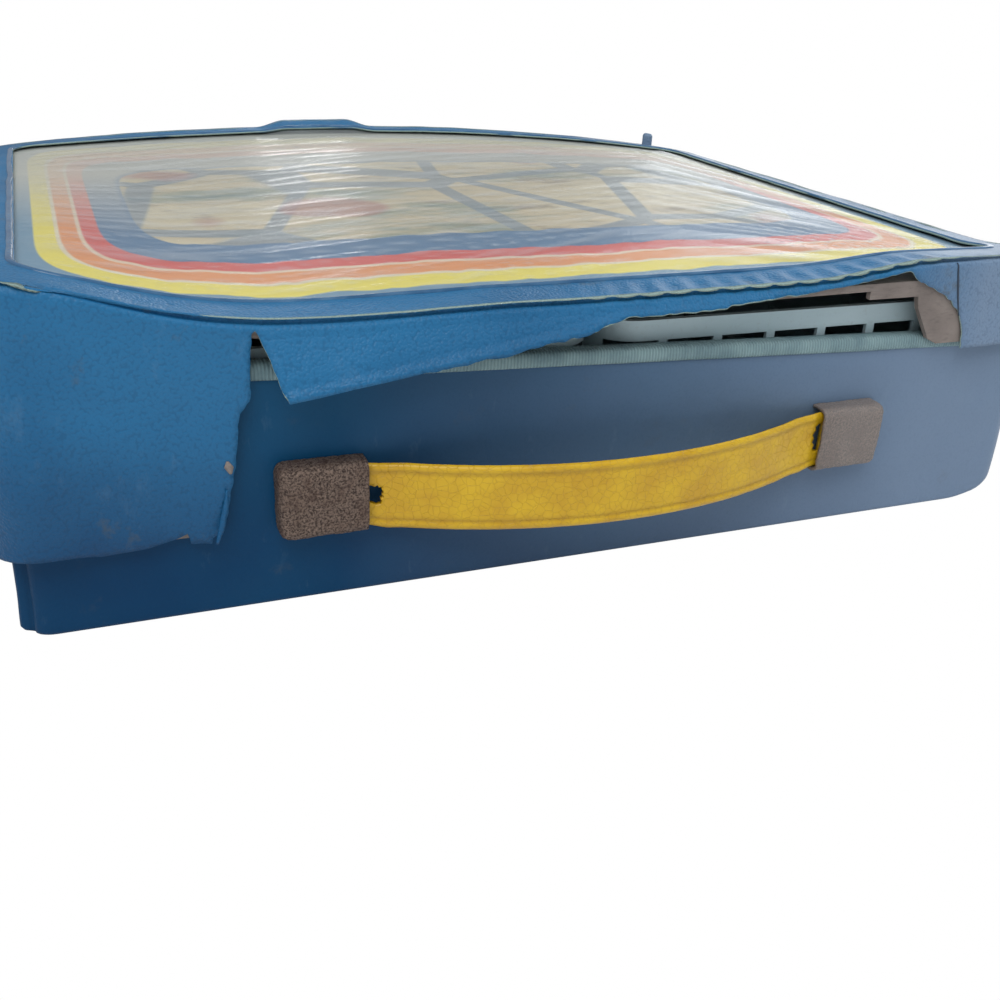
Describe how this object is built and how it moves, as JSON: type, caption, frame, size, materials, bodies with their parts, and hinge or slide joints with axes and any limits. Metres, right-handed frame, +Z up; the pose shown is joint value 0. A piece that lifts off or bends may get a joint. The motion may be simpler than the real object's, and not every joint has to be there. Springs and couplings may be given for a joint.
{
  "type": "toy car carry case",
  "caption": "Vinyl-covered cardboard carry case with a hinged windowed lid, lattice trays for small toy cars and a strap handle; worn, with a torn front skirt.",
  "frame": {"origin": "centre of the flat underside, on the surface the case lies on", "axes": "+Z up through the lid, +X along the front wall to the right, -Y towards the handle"},
  "size_m": [0.348, 0.2863, 0.1012],
  "materials": {
    "blue_vinyl": "soft pebble-grained vinyl sheet, satin",
    "brown_cardboard": "raw brown card, worn at the torn edge",
    "hem_fabric": "pale green ribbed tape",
    "tray_plastic": "moulded, satin",
    "pitted_metal": "plated once, now pitted and brown",
    "yellow_strap": "moulded, grubby satin",
    "clear_vinyl": "clear flexible vinyl, wrinkled",
    "printed_card": "printed card with a plain striped design"
  },
  "bodies": {
    "root": {"body_back_board": "brown_cardboard", "body_base_board": "brown_cardboard", "body_cover": "blue_vinyl", "body_front_board": "brown_cardboard", "body_hem": "hem_fabric", "body_left_board": "brown_cardboard", "body_right_board": "brown_cardboard", "handle_cap_left": "pitted_metal", "handle_cap_right": "pitted_metal", "handle_rivet_left": "pitted_metal", "handle_rivet_right": "pitted_metal", "hinge_tape_body": "blue_vinyl", "tray_dividers_lower_left": "tray_plastic", "tray_dividers_lower_right": "tray_plastic", "tray_dividers_upper_left": "tray_plastic", "tray_dividers_upper_right": "tray_plastic", "tray_lower_left": "tray_plastic", "tray_lower_right": "tray_plastic", "tray_upper_left": "tray_plastic", "tray_upper_right": "tray_plastic"},
    "lid": {"corner_pip": "blue_vinyl", "hinge_tape_lid": "blue_vinyl", "lid_back_board": "brown_cardboard", "lid_cover": "blue_vinyl", "lid_front_flap": "blue_vinyl", "lid_front_left_board": "brown_cardboard", "lid_front_right_board": "brown_cardboard", "lid_left_board": "brown_cardboard", "lid_right_board": "brown_cardboard", "lid_top_board": "brown_cardboard", "lid_window": "clear_vinyl", "picture_card": "printed_card", "window_weld_bead": "blue_vinyl"},
    "strap_left": {"handle_strap_left": "yellow_strap"},
    "strap_right": {"handle_strap_right": "yellow_strap"}
  },
  "joints": [
    {"name": "lid_hinge", "type": "hinge", "parent": "root", "child": "lid", "pos_m": [0, 0.1331, 0.067], "axis": [-1, 0, 0], "range_deg": [0, 178]},
    {"name": "strap_swing", "type": "hinge", "parent": "root", "child": "strap_left", "pos_m": [-0.0766, -0.1364, 0.0345], "axis": [0, 0, 1], "range_deg": [-6, 5]},
    {"name": "strap_bend", "type": "hinge", "parent": "strap_left", "child": "strap_right", "pos_m": [0.0014, -0.1524, 0.0345], "axis": [0, 0, 1], "range_deg": [-10.5, 12.5]}
  ],
  "couplings": [
    {"joint": "strap_bend", "follows": "strap_swing", "ratio": -2}
  ]
}
